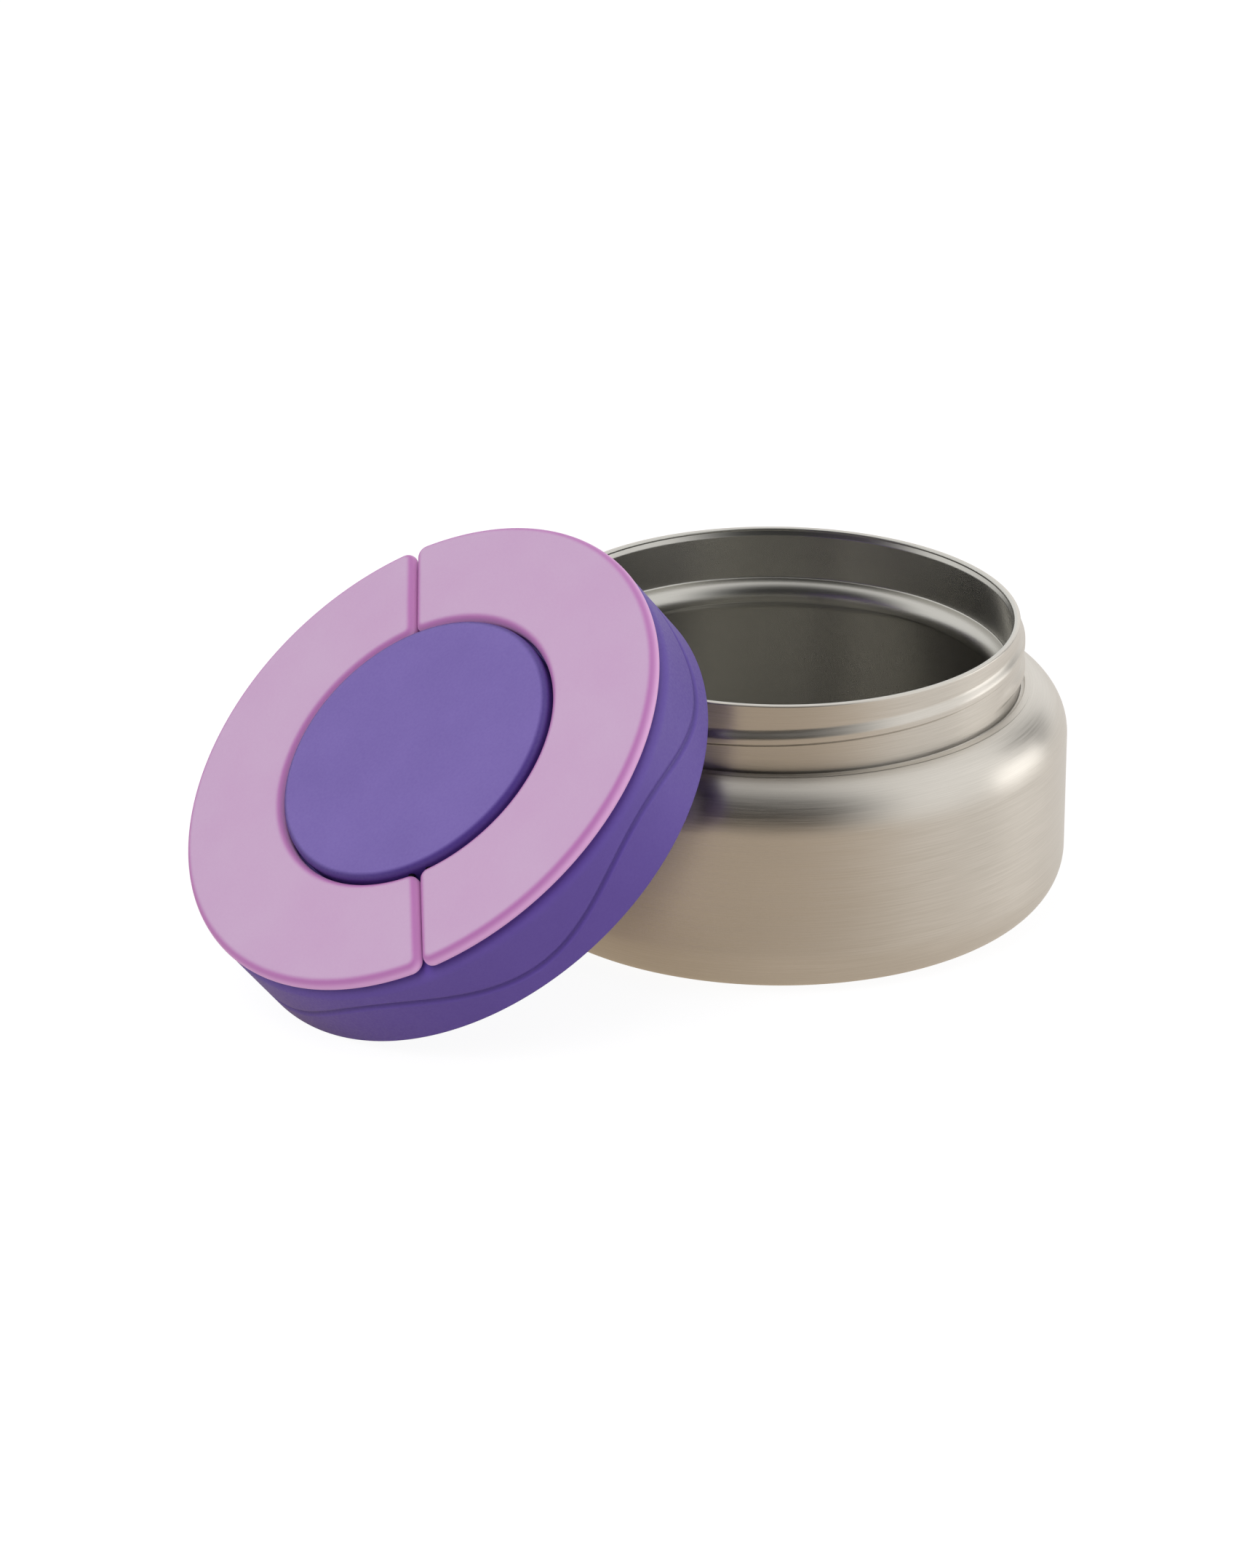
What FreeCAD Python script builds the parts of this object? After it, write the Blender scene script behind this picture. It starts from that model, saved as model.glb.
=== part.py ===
import FreeCAD, Part
import math
import os
import re
import Sketcher
from FreeCAD import Placement, Rotation, Vector

# Insulated food jar of steel with its screw lid taken off.
# The jar stands on the origin, +Z up, in millimetres. The lid leans on the jar from the -X side,
# with its rim on the table and the bottom of its plug on the jar's lip.

DIMENSIONS = {
    # jar, outer shell
    "body_radius": 55.0,
    "jar_height": 55.2,
    "sheet_wall": 0.6,
    "base_seam": 14.0,
    "shoulder_depth": 22.8,
    "shoulder_radius": 10.05,
    "neck_inset": 9.3,
    "neck_foot_flare": 0.2,
    "neck_root_flare": 1.1,
    "neck_root_step": 0.35,
    "lip_round": 0.25,
    # jar, rolled thread on the neck
    "thread_starts": 2,
    "thread_lead": 9.8,
    "thread_turn_share": 0.7,
    "thread_start_depth": 10.0,
    "thread_start_angle": -68.7,
    "ridge_height": 0.9,
    "ridge_crest": 0.8,
    "ridge_flank": 1.8,
    "ridge_return": 0.8,
    "ridge_bury": 0.3,
    # jar, base
    "corner_radius": 10.0,
    "foot_width": 4.4,
    "recess_depth": 0.7,
    "recess_slope": 0.4,
    "base_disc_thickness": 0.6,
    "base_disc_gap": 0.3,
    "seal_hole_radius": 1.5,
    "seal_bead_radius": 2.6,
    "seal_bead_height": 0.8,
    # jar, inner liner
    "lip_land": 0.5,
    "liner_flare": 0.4,
    "liner_flare_height": 0.8,
    "nose_inset": 3.0,
    "nose_depth": 13.6,
    "ledge_round": 3.6,
    "under_round": 0.8,
    "vacuum_gap": 3.8,
    "bowl_shoulder_round": 4.0,
    "bowl_shoulder_drop": 0.8,
    "bowl_floor": 5.4,
    "bowl_corner": 8.5,
    # jar, pieces in the vacuum space
    "foil_thickness": 0.2,
    "foil_gap": 0.1,
    "foil_end_gap": 1.5,
    "getter_place": 20.0,
    "getter_radius": 4.0,
    "getter_height": 1.0,
    "getter_cup_wall": 0.4,
    "getter_fit": 0.1,
    # lid, how it leans
    "lid_tilt": 40.15,
    "split_angle": 47.0,
    "lid_side_shift": 2.0,
    "lean_gap": 0.3,
    # lid, shell
    "skirt_reach": 4.5,
    "skirt_wall": 1.6,
    "rim_round": 0.5,
    "deck_height": 16.6,
    "deck_round": 2.5,
    "deck_wall": 1.8,
    "wave_height": 8.0,
    "wave_rise": 3.35,
    "wave_count": 5,
    "wave_angle": 18.5,
    "wave_half_width": 0.75,
    "wave_depth": 0.5,
    # lid, inner cap with thread and plug
    "cap_fit": 0.1,
    "cap_wall": 1.5,
    "cap_lift": 1.2,
    "plug_gap": 2.3,
    "plug_recess": 2.6,
    "plug_floor": 1.6,
    "plug_wall": 3.6,
    "plug_nose_inset": 0.6,
    "plug_chamfer": 1.0,
    "seat_depth": 1.8,
    "seat_lift": 1.2,
    "seat_height": 2.0,
    "cap_ridge_height": 0.9,
    "cap_ridge_base": 1.8,
    "cap_ridge_crest": 0.8,
    "cap_thread_lift": 3.0,
    "cap_thread_turn_share": 0.55,
    # lid, seal and insulation
    "gasket_fit": 0.1,
    "gasket_reach": 1.5,
    "gasket_edge": 0.6,
    "gasket_slope": 0.8,
    "plate_thickness": 1.2,
    "plate_fit": 0.1,
    "pad_fit": 0.2,
    # lid, hub, screws and hinge rods
    "hub_gap": 0.5,
    "hub_rise": 0.6,
    "hub_round": 1.3,
    "screw_inset": 10.3,
    "screw_count": 4,
    "screw_radius": 1.25,
    "screw_bite": 2.1,
    "screw_head_radius": 2.4,
    "screw_head_height": 1.5,
    "screw_clearance": 0.3,
    "rod_radius": 0.7,
    "rod_grip": 9.2,
    "rod_clearance": 0.05,
    "rod_end_gap": 0.3,
    "hinge_offset": 1.8,
    "hinge_lift": 1.3,
    # lid, flip handles
    "handle_overhang": 0.1,
    "handle_hole_share": 0.5725,
    "handle_lift": 0.8,
    "handle_thickness": 2.4,
    "handle_crown": 0.6,
    "handle_top_round": 1.6,
    "handle_bottom_round": 0.7,
    "handle_outer_corner": 2.2,
    "handle_inner_corner": 2.0,
    "split_gap": 0.5,
    # drawing aids
    "cut_overrun": 0.4,
    "same_place": 0.001,
}
# Sizes that follow from the driving ones, so that each piece keeps its place when one of them changes.
FOLLOWING = {
    "neck_radius": "body_radius - neck_inset",
    "neck_foot_radius": "neck_radius + neck_foot_flare",
    "neck_root_radius": "neck_radius + neck_root_flare",
    "wall_top": "jar_height - shoulder_depth",
    "foot_inner_radius": "body_radius - corner_radius - foot_width",
    "liner_neck_inside": "neck_radius - 2 * sheet_wall - liner_flare",
    "nose_radius": "liner_neck_inside - nose_inset",
    "bowl_radius": "body_radius - 2 * sheet_wall - vacuum_gap",
    "skirt_radius": "neck_radius + skirt_reach",
    "plug_radius": "liner_neck_inside - plug_gap",
    "gasket_radius": "plug_radius + gasket_reach",
    "handle_radius": "skirt_radius + handle_overhang",
    "handle_hole_radius": "handle_radius * handle_hole_share",
    "screw_circle": "handle_hole_radius - hub_gap - screw_inset",
    "rod_reach": "handle_hole_radius + rod_grip",
}
WAVE_STEPS = 16
FULL_TURN = 360.0

doc = FreeCAD.newDocument("food_jar")
sheet = doc.addObject("Spreadsheet::Sheet", "dims")
for row, (alias, value) in enumerate(DIMENSIONS.items(), start=1):
    sheet.set(f"A{row}", alias.replace("_", " "))
    sheet.set(f"B{row}", str(value))
    sheet.setAlias(f"B{row}", alias)
doc.recompute()


def linked(expression):
    """The expression with driving sizes written as cells of the sheet and the other sizes worked out."""
    def written(word):
        if word[0] in FOLLOWING:
            return f"({linked(FOLLOWING[word[0]])})"
        return f"dims.{word[0]}" if word[0] in DIMENSIONS else word[0]
    return re.sub(r"[a-z][a-z_]+", written, expression)


def size(expression):
    """The expression's value in millimetres or degrees."""
    return float(sheet.evalExpression(linked(expression)))


def bind(thing, **sizes):
    """Tie properties of a document object to the sheet."""
    for name, expression in sizes.items():
        thing.setExpression(name, linked(expression))


def sketch_on(body, role, name, lift="0"):
    """A sketch on one of the body's own planes, raised along the plane's normal."""
    sketch = body.newObject("Sketcher::SketchObject", name)
    plane = next(item for item in body.Origin.OriginFeatures if item.Role == role)
    sketch.AttachmentSupport = [(plane, "")]
    sketch.MapMode = "FlatFace"
    sketch.setExpression(".AttachmentOffset.Base.z", linked(lift))
    return sketch


def arc_between(start, end, radius, side):
    """A circular arc of less than a half turn that bulges to the right (+1) or left (-1) of its chord."""
    chord = end - start
    across = Vector(chord.y, -chord.x, 0).normalize()
    sagitta = radius - math.sqrt(max(radius ** 2 - (chord.Length / 2) ** 2, 0))
    return Part.Arc(start, (start + end) / 2 + across * sagitta * side, end)


def draw_outline(sketch, corners):
    """A closed outline through corners (x, y), or (x, y, radius, side) where an arc leads on from one."""
    places = [Vector(size(corner[0]), size(corner[1]), 0) for corner in corners]
    ends = []
    for corner, start, end in zip(corners, places, places[1:] + places[:1]):
        if len(corner) > 2:
            edge = sketch.addGeometry(arc_between(start, end, size(corner[2]), corner[3]))
            radius = sketch.addConstraint(Sketcher.Constraint("Radius", edge, size(corner[2])))
            sketch.setExpression(f"Constraints[{radius}]", linked(corner[2]))
        else:
            edge = sketch.addGeometry(Part.LineSegment(start, end))
        forward = sketch.getPoint(edge, 1).distanceToPoint(start) < size("same_place")
        ends.append((edge, 1, 2) if forward else (edge, 2, 1))
    for index, (edge, first, last) in enumerate(ends):
        onward, onward_first, onward_last = ends[(index + 1) % len(ends)]
        sketch.addConstraint(Sketcher.Constraint("Coincident", edge, last, onward, onward_first))
        for axis, expression, place in zip("XY", corners[index], places[index]):
            number = sketch.addConstraint(Sketcher.Constraint(f"Distance{axis}", -1, 1, edge, first, place))
            if expression != "0":
                sketch.setExpression(f"Constraints[{number}]", linked(expression))


def draw_circle(sketch, x, y, radius):
    """A circle whose centre and radius follow the sheet."""
    centre = Vector(size(x), size(y), 0)
    edge = sketch.addGeometry(Part.Circle(centre, Vector(0, 0, 1), size(radius)))
    for kind, expression in (("X", x), ("Y", y)):
        rule = Sketcher.Constraint(f"Distance{kind}", -1, 1, edge, 3, size(expression))
        number = sketch.addConstraint(rule)
        if expression != "0":
            sketch.setExpression(f"Constraints[{number}]", linked(expression))
    number = sketch.addConstraint(Sketcher.Constraint("Radius", edge, size(radius)))
    sketch.setExpression(f"Constraints[{number}]", linked(radius))


def turned(label, corners):
    """A body made by turning an outline of (radius, height) corners about Z."""
    body = doc.addObject("PartDesign::Body", label)
    sketch = sketch_on(body, "XZ_Plane", f"{label}_outline")
    draw_outline(sketch, corners)
    turn = body.newObject("PartDesign::Revolution", f"{label}_turn")
    turn.Profile = sketch
    turn.ReferenceAxis = (sketch, ["V_Axis"])
    turn.Angle = FULL_TURN
    doc.recompute()
    return body


def bored(body, name, role, circles, lift, depth, both_ways=False):
    """Holes cut into a body from a plane; the volume shows that they met the solid."""
    before = body.Shape.Volume
    sketch = sketch_on(body, role, f"{name}_places", lift)
    for x, y, radius in circles:
        draw_circle(sketch, x, y, radius)
    cut = body.newObject("PartDesign::Pocket", name)
    cut.Profile = sketch
    cut.Midplane = both_ways
    cut.Reversed = not both_ways
    bind(cut, Length=depth)
    doc.recompute()
    if body.Shape.Volume > before - size("same_place"):
        raise ValueError(f"{name} cuts nothing")
    return cut


def cylinder(name, radius, height, place):
    """A cylinder tied to the sheet, standing at a place."""
    rod = doc.addObject("Part::Cylinder", name)
    bind(rod, Radius=radius, Height=height)
    rod.Placement = place
    return rod


def joined(kind, label, base, tool):
    """A boolean of two objects of the document."""
    result = doc.addObject(f"Part::{kind}", label)
    result.Base = base
    result.Tool = tool
    doc.recompute()
    return result


def threaded(label, blank, radius, turn_share, start, angle, section):
    """A body with right-hand ridges: a section of (radius, height) corners swept up a helix per start."""
    count = int(size("thread_starts"))
    ridges = []
    for number in range(count):
        spin = Rotation(Vector(0, 0, 1), size(angle) + number * FULL_TURN / count)
        place = Placement(Vector(0, 0, size(start)), spin)
        helix = doc.addObject("Part::Helix", f"{label}_helix")
        bind(helix, Radius=radius, Pitch="thread_lead", Height=f"thread_lead * {turn_share}")
        helix.Placement = place
        profile = doc.addObject("Sketcher::SketchObject", f"{label}_ridge_section")
        draw_outline(profile, section)
        profile.Placement = place * Placement(Vector(0, 0, 0), Rotation(Vector(1, 0, 0), FULL_TURN / 4))
        ridge = doc.addObject("Part::Sweep", f"{label}_ridge")
        ridge.Sections = [profile]
        ridge.Spine = (helix, ["Edge1"])
        ridge.Solid = True
        ridge.Frenet = True
        ridges.append(ridge)
    result = doc.addObject("Part::MultiFuse", label)
    result.Shapes = [blank] + ridges
    doc.recompute()
    return result


# Jar, outer shell: one steel tube drawn in over the shoulder to a neck with a rolled thread.
NECK_ROOT = ("wall_top + sqrt(shoulder_radius^2"
             " - (neck_root_radius - body_radius + shoulder_radius)^2)")
SHELL_INSIDE = "body_radius - sheet_wall"
INNER_ROOT_RADIUS = "neck_root_radius - sheet_wall / 2"
INNER_ROOT = ("wall_top + sqrt((shoulder_radius - sheet_wall)^2"
              f" - ({INNER_ROOT_RADIUS} - body_radius + shoulder_radius)^2)")
shell_blank = turned("outer_shell_blank", [
    ("body_radius", "base_seam"),
    ("body_radius", "wall_top", "shoulder_radius", 1),
    ("neck_root_radius", NECK_ROOT),
    ("neck_foot_radius", f"{NECK_ROOT} + neck_root_step"),
    ("neck_radius", "jar_height - lip_round", "lip_round", 1),
    ("neck_radius - lip_round", "jar_height"),
    ("neck_radius - sheet_wall", "jar_height"),
    ("neck_foot_radius - sheet_wall", f"{NECK_ROOT}"),
    (INNER_ROOT_RADIUS, INNER_ROOT, "shoulder_radius - sheet_wall", -1),
    (SHELL_INSIDE, "wall_top"),
    (SHELL_INSIDE, "base_seam"),
])
RIDGE_FOOT = "neck_radius - ridge_bury"
RIDGE_TOP = "neck_radius + ridge_height"
FOOT_SHARE = "(ridge_height + ridge_bury) / ridge_height"
jar_outer_shell = threaded(
    "jar_outer_shell", shell_blank, "neck_radius", "thread_turn_share",
    "jar_height - thread_start_depth", "thread_start_angle",
    [
        (RIDGE_FOOT, f"-ridge_crest / 2 - ridge_return * {FOOT_SHARE}"),
        (RIDGE_TOP, "-ridge_crest / 2"),
        (RIDGE_TOP, "ridge_crest / 2"),
        (RIDGE_FOOT, f"ridge_crest / 2 + ridge_flank * {FOOT_SHARE}"),
    ])

# Jar, base cup: pressed bottom with a round corner, welded to the wall at the seam.
# Its middle is raised to make room for the base disc and is pierced for drawing the vacuum.
RECESS_TOP = "recess_depth + sheet_wall"
jar_base_cup = turned("jar_base_cup", [
    ("seal_hole_radius", "recess_depth"),
    ("foot_inner_radius - recess_slope", "recess_depth"),
    ("foot_inner_radius", "0"),
    ("body_radius - corner_radius", "0", "corner_radius", 1),
    ("body_radius", "corner_radius"),
    ("body_radius", "base_seam"),
    (SHELL_INSIDE, "base_seam"),
    (SHELL_INSIDE, "corner_radius", "corner_radius - sheet_wall", -1),
    ("body_radius - corner_radius", "sheet_wall"),
    ("foot_inner_radius + sheet_wall", "sheet_wall"),
    ("foot_inner_radius + sheet_wall - recess_slope", RECESS_TOP),
    ("seal_hole_radius", RECESS_TOP),
])

# Jar, vacuum seal: the bead that closes the pierced hole from inside the vacuum space.
vacuum_seal_plug = turned("vacuum_seal_plug", [
    ("0", "recess_depth"),
    ("seal_hole_radius", "recess_depth"),
    ("seal_hole_radius", RECESS_TOP),
    ("seal_bead_radius", RECESS_TOP),
    ("0", f"{RECESS_TOP} + seal_bead_height"),
])

# Jar, base disc: thin steel disc glued into the recess, flush with the standing ring.
base_disc = cylinder("base_disc", "foot_inner_radius - recess_slope - base_disc_gap",
                     "base_disc_thickness", Placement())

# Jar, inner liner: the food bowl, with the ledge that the lid's gasket seals on.
LINER_TOP_RADIUS = "neck_radius - sheet_wall"
LINER_NECK = f"{LINER_TOP_RADIUS} - liner_flare"
NOSE_HEIGHT = "jar_height - nose_depth"
LEDGE_CENTRE = "nose_radius + ledge_round"
UNDER_CENTRE = "nose_radius + under_round"
BOWL_TURN = "bowl_radius - bowl_shoulder_round"
BOWL_TOP = f"{NOSE_HEIGHT} - under_round - bowl_shoulder_drop"
LEDGE_INSIDE = (f"{NOSE_HEIGHT} + sqrt(ledge_round^2"
                f" - ({LEDGE_CENTRE} - ({LINER_NECK} - sheet_wall))^2)")
LEDGE_OUTSIDE = (f"{NOSE_HEIGHT} + sqrt((ledge_round - sheet_wall)^2"
                 f" - ({LEDGE_CENTRE} - ({LINER_NECK}))^2)")
FLARE_TOP = "jar_height - lip_land"
FLARE_FOOT = f"{FLARE_TOP} - liner_flare_height"
jar_inner_liner = turned("jar_inner_liner", [
    (f"{LINER_TOP_RADIUS} - sheet_wall", "jar_height"),
    (f"{LINER_TOP_RADIUS} - sheet_wall", FLARE_TOP),
    (f"{LINER_NECK} - sheet_wall", FLARE_FOOT),
    (f"{LINER_NECK} - sheet_wall", LEDGE_INSIDE, "ledge_round", 1),
    ("nose_radius", NOSE_HEIGHT, "under_round", 1),
    (UNDER_CENTRE, f"{NOSE_HEIGHT} - under_round"),
    (BOWL_TURN, BOWL_TOP, "bowl_shoulder_round", -1),
    ("bowl_radius", f"{BOWL_TOP} - bowl_shoulder_round"),
    ("bowl_radius", "bowl_floor + bowl_corner", "bowl_corner", -1),
    ("bowl_radius - bowl_corner", "bowl_floor"),
    ("0", "bowl_floor"),
    ("0", "bowl_floor - sheet_wall"),
    ("bowl_radius - bowl_corner", "bowl_floor - sheet_wall", "bowl_corner + sheet_wall", 1),
    ("bowl_radius + sheet_wall", "bowl_floor + bowl_corner"),
    ("bowl_radius + sheet_wall", f"{BOWL_TOP} - bowl_shoulder_round", "bowl_shoulder_round + sheet_wall", 1),
    (BOWL_TURN, f"{BOWL_TOP} + sheet_wall"),
    (UNDER_CENTRE, f"{NOSE_HEIGHT} - under_round + sheet_wall", "under_round - sheet_wall", -1),
    ("nose_radius + sheet_wall", NOSE_HEIGHT, "ledge_round - sheet_wall", -1),
    (LINER_NECK, LEDGE_OUTSIDE),
    (LINER_NECK, FLARE_FOOT),
    (LINER_TOP_RADIUS, FLARE_TOP),
    (LINER_TOP_RADIUS, "jar_height"),
])

# Jar, heat shield: metal foil wound round the liner's wall inside the vacuum.
FOIL_FOOT = "bowl_floor + bowl_corner + foil_end_gap"
FOIL_HEIGHT = f"{BOWL_TOP} - bowl_shoulder_round - foil_end_gap - ({FOIL_FOOT})"
FOIL_INSIDE = "bowl_radius + sheet_wall + foil_gap"
foil_place = Placement(Vector(0, 0, size(FOIL_FOOT)), Rotation())
heat_shield_foil = joined(
    "Cut", "heat_shield_foil",
    cylinder("foil_outside", f"{FOIL_INSIDE} + foil_thickness", FOIL_HEIGHT, foil_place),
    cylinder("foil_inside", FOIL_INSIDE, FOIL_HEIGHT, foil_place))

# Jar, getter: a pellet that keeps the vacuum clean, held in a small cup welded to the base.
cup_place = Placement(Vector(size("getter_place"), 0, size(RECESS_TOP)), Rotation())
pellet_place = Placement(Vector(0, 0, size("getter_cup_wall")), Rotation()) * cup_place
getter_cup = joined(
    "Cut", "getter_cup",
    cylinder("getter_cup_outside", "getter_radius + getter_fit + getter_cup_wall",
             "getter_cup_wall + getter_height", cup_place),
    cylinder("getter_cup_inside", "getter_radius + getter_fit", "getter_height", pellet_place))
getter_pellet = cylinder("getter_pellet", "getter_radius", "getter_height", pellet_place)

# The lid's own frame: its axis is Z, its rim lies at zero and the handles' split runs along X.
# The lowest point of the rim touches the table, and the plug rests on the jar's lip.
tilt = math.radians(size("lid_tilt"))
rim_height = (size("skirt_radius - rim_round") * math.sin(tilt)
              + size("rim_round") * (1 - math.cos(tilt)))
lip_run = ((size("jar_height") - rim_height) * math.cos(tilt)
           - size("plug_recess - lean_gap")) / math.sin(tilt)
lid_place = Placement(Vector(-size("neck_radius") - lip_run, size("lid_side_shift"), rim_height),
                      Rotation(Vector(0, 1, 0), -size("lid_tilt")))
lid_place = lid_place * Placement(Vector(0, 0, 0), Rotation(Vector(0, 0, 1), size("split_angle")))

# Lid, shell: moulded deck and skirt, with a shallow wavy line pressed into the skirt.
SKIRT_INSIDE = "skirt_radius - skirt_wall"
DECK_BELOW = "deck_height - deck_wall"
SCREW_STEP = FULL_TURN / size("screw_count")
screw_places = []
for turn in range(int(size("screw_count"))):
    angle = SCREW_STEP * (turn + 1 / 2)
    screw_places.append((f"screw_circle * cos({angle} deg)", f"screw_circle * sin({angle} deg)"))
shell_body = turned("lid_shell_blank", [
    (SKIRT_INSIDE, "0"),
    ("skirt_radius - rim_round", "0", "rim_round", 1),
    ("skirt_radius", "rim_round"),
    ("skirt_radius", "deck_height - deck_round", "deck_round", 1),
    ("skirt_radius - deck_round", "deck_height"),
    ("0", "deck_height"),
    ("0", DECK_BELOW),
    (SKIRT_INSIDE, DECK_BELOW),
])
bored(shell_body, "screw_clearance_holes", "XY_Plane",
      [(x, y, "screw_radius + screw_clearance") for x, y in screw_places], DECK_BELOW, "deck_wall")


def wave_edge(radius, shift, wave):
    """One wave of the line round the skirt, from crest to crest, drawn on a cylinder."""
    angles = [math.radians(size("wave_angle")) + 2 * math.pi * (wave + step / WAVE_STEPS) / size("wave_count")
              for step in range(WAVE_STEPS + 1)]
    points = []
    for step, angle in enumerate(angles):
        height = size("wave_height") + size("wave_rise") * math.cos(2 * math.pi * step / WAVE_STEPS) + shift
        points.append(Vector(radius * math.cos(angle), radius * math.sin(angle), height))
    first, last = [Vector(-math.sin(angle), math.cos(angle), 0) for angle in (angles[0], angles[-1])]
    curve = Part.BSplineCurve()
    curve.interpolate(Points=points, InitialTangent=first, FinalTangent=last)
    return curve.toShape()


groove_reach = size("wave_half_width * (wave_depth + cut_overrun) / wave_depth")
groove_waves = []
for wave in range(int(size("wave_count"))):
    edges = [
        wave_edge(size("skirt_radius - wave_depth"), 0, wave),
        wave_edge(size("skirt_radius + cut_overrun"), groove_reach, wave),
        wave_edge(size("skirt_radius + cut_overrun"), -groove_reach, wave),
    ]
    faces = [Part.makeRuledSurface(one, other) for one, other in zip(edges, edges[1:] + edges[:1])]
    for end in (0, -1):
        corners = [edge.Vertexes[end].Point for edge in edges]
        faces.append(Part.Face(Part.makePolygon(corners + corners[:1])))
    skin = Part.makeShell(faces)
    skin.sewShape()
    solid = Part.makeSolid(skin)
    groove_waves.append(solid if solid.Volume > 0 else solid.reversed())
wave_cutter = doc.addObject("Part::Feature", "wave_cutter")
wave_cutter.Shape = groove_waves[0].multiFuse(groove_waves[1:])
lid_shell = joined("Cut", "lid_shell", shell_body, wave_cutter)

# Lid, inner cap: moulding pressed into the shell, with the thread wall and the hollow plug.
CAP_TOP = f"{DECK_BELOW} - cap_fit"
CAP_OUTSIDE = f"{SKIRT_INSIDE} - cap_fit"
CAP_INSIDE = f"{CAP_OUTSIDE} - cap_wall"
PLUG_CAVITY = "plug_radius - plug_wall"
SEAT_RADIUS = "plug_radius - seat_depth"
SEAT_LOW = "plug_recess + seat_lift"
cap_body = turned("inner_cap_blank", [
    ("0", "plug_recess"),
    ("plug_radius - plug_nose_inset - plug_chamfer", "plug_recess"),
    ("plug_radius - plug_nose_inset", "plug_recess + plug_chamfer"),
    ("plug_radius - plug_nose_inset", SEAT_LOW),
    (SEAT_RADIUS, SEAT_LOW),
    (SEAT_RADIUS, f"{SEAT_LOW} + seat_height"),
    ("plug_radius", f"{SEAT_LOW} + seat_height"),
    ("plug_radius", f"{CAP_TOP} - cap_wall"),
    (CAP_INSIDE, f"{CAP_TOP} - cap_wall"),
    (CAP_INSIDE, "cap_lift"),
    (CAP_OUTSIDE, "cap_lift"),
    (CAP_OUTSIDE, CAP_TOP),
    (PLUG_CAVITY, CAP_TOP),
    (PLUG_CAVITY, "plug_recess + plug_floor"),
    ("0", "plug_recess + plug_floor"),
])
lid_inner_cap = threaded(
    "lid_inner_cap", cap_body, CAP_INSIDE, "cap_thread_turn_share", "cap_thread_lift", "0",
    [
        (f"{CAP_INSIDE} + ridge_bury", "-cap_ridge_base / 2"),
        (f"{CAP_INSIDE} + ridge_bury", "cap_ridge_base / 2"),
        (f"{CAP_INSIDE} - cap_ridge_height", "cap_ridge_crest / 2"),
        (f"{CAP_INSIDE} - cap_ridge_height", "-cap_ridge_crest / 2"),
    ])

# Lid, gasket: silicone ring in the plug's seat, with a soft edge that presses on the jar's ledge.
GASKET_INSIDE = f"{SEAT_RADIUS} + gasket_fit"
GASKET_LOW = f"{SEAT_LOW} + gasket_fit"
GASKET_HIGH = f"{SEAT_LOW} + seat_height - gasket_fit"
lid_gasket = turned("lid_gasket", [
    (GASKET_INSIDE, GASKET_LOW),
    ("gasket_radius - gasket_slope", GASKET_LOW),
    ("gasket_radius", f"{GASKET_LOW} + gasket_edge"),
    ("gasket_radius", f"{GASKET_LOW} + 2 * gasket_edge"),
    ("gasket_radius - gasket_slope", GASKET_HIGH),
    (GASKET_INSIDE, GASKET_HIGH),
])

# Lid, insulation: foam in the plug, closed by a plate welded in below the screw heads.
PAD_FOOT = "plug_recess + plug_floor + pad_fit"
PLATE_TOP = f"{DECK_BELOW} - screw_head_height - pad_fit"
PLATE_FOOT = f"{PLATE_TOP} - plate_thickness"
insulation_pad = cylinder("insulation_pad", f"{PLUG_CAVITY} - pad_fit",
                          f"{PLATE_FOOT} - pad_fit - ({PAD_FOOT})",
                          Placement(Vector(0, 0, size(PAD_FOOT)), Rotation()))
plug_cover_plate = cylinder("plug_cover_plate", f"{PLUG_CAVITY} - plate_fit", "plate_thickness",
                            Placement(Vector(0, 0, size(PLATE_FOOT)), Rotation()))

# Lid, hub: the fixed disc between the handles; it carries both hinge rods.
HANDLE_FOOT = "deck_height + handle_lift"
HANDLE_EDGE = f"{HANDLE_FOOT} + handle_thickness"
HANDLE_TOP = f"{HANDLE_EDGE} + handle_crown"
HINGE_HEIGHT = f"{HANDLE_FOOT} + hinge_lift"
HUB_TOP = f"{HANDLE_TOP} + hub_rise"
HUB_RADIUS = "handle_hole_radius - hub_gap"
hub_disc = turned("hub_disc", [
    ("0", "deck_height"),
    (HUB_RADIUS, "deck_height"),
    (HUB_RADIUS, f"{HUB_TOP} - hub_round", "hub_round", 1),
    (f"{HUB_RADIUS} - hub_round", HUB_TOP),
    ("0", HUB_TOP),
])
bored(hub_disc, "screw_pilot_holes", "XY_Plane",
      [(x, y, "screw_radius") for x, y in screw_places], "deck_height", "screw_bite")
bored(hub_disc, "hub_rod_bores", "YZ_Plane",
      [(f"{side}hinge_offset", HINGE_HEIGHT, "rod_radius") for side in ("", "-")],
      "0", f"2 * ({HUB_RADIUS} + cut_overrun)", both_ways=True)

# Lid, hub screws: driven up through the deck into the hub, one group of like screws.
one_screw = turned("one_screw", [
    ("0", f"{DECK_BELOW} - screw_head_height"),
    ("screw_head_radius", f"{DECK_BELOW} - screw_head_height"),
    ("screw_head_radius", DECK_BELOW),
    ("screw_radius", DECK_BELOW),
    ("screw_radius", "deck_height + screw_bite"),
    ("0", "deck_height + screw_bite"),
])
hub_screws = doc.addObject("Part::Feature", "hub_screws")
hub_screws.Shape = Part.makeCompound(
    [one_screw.Shape.translated(Vector(size(x), size(y), 0)) for x, y in screw_places])


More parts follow.
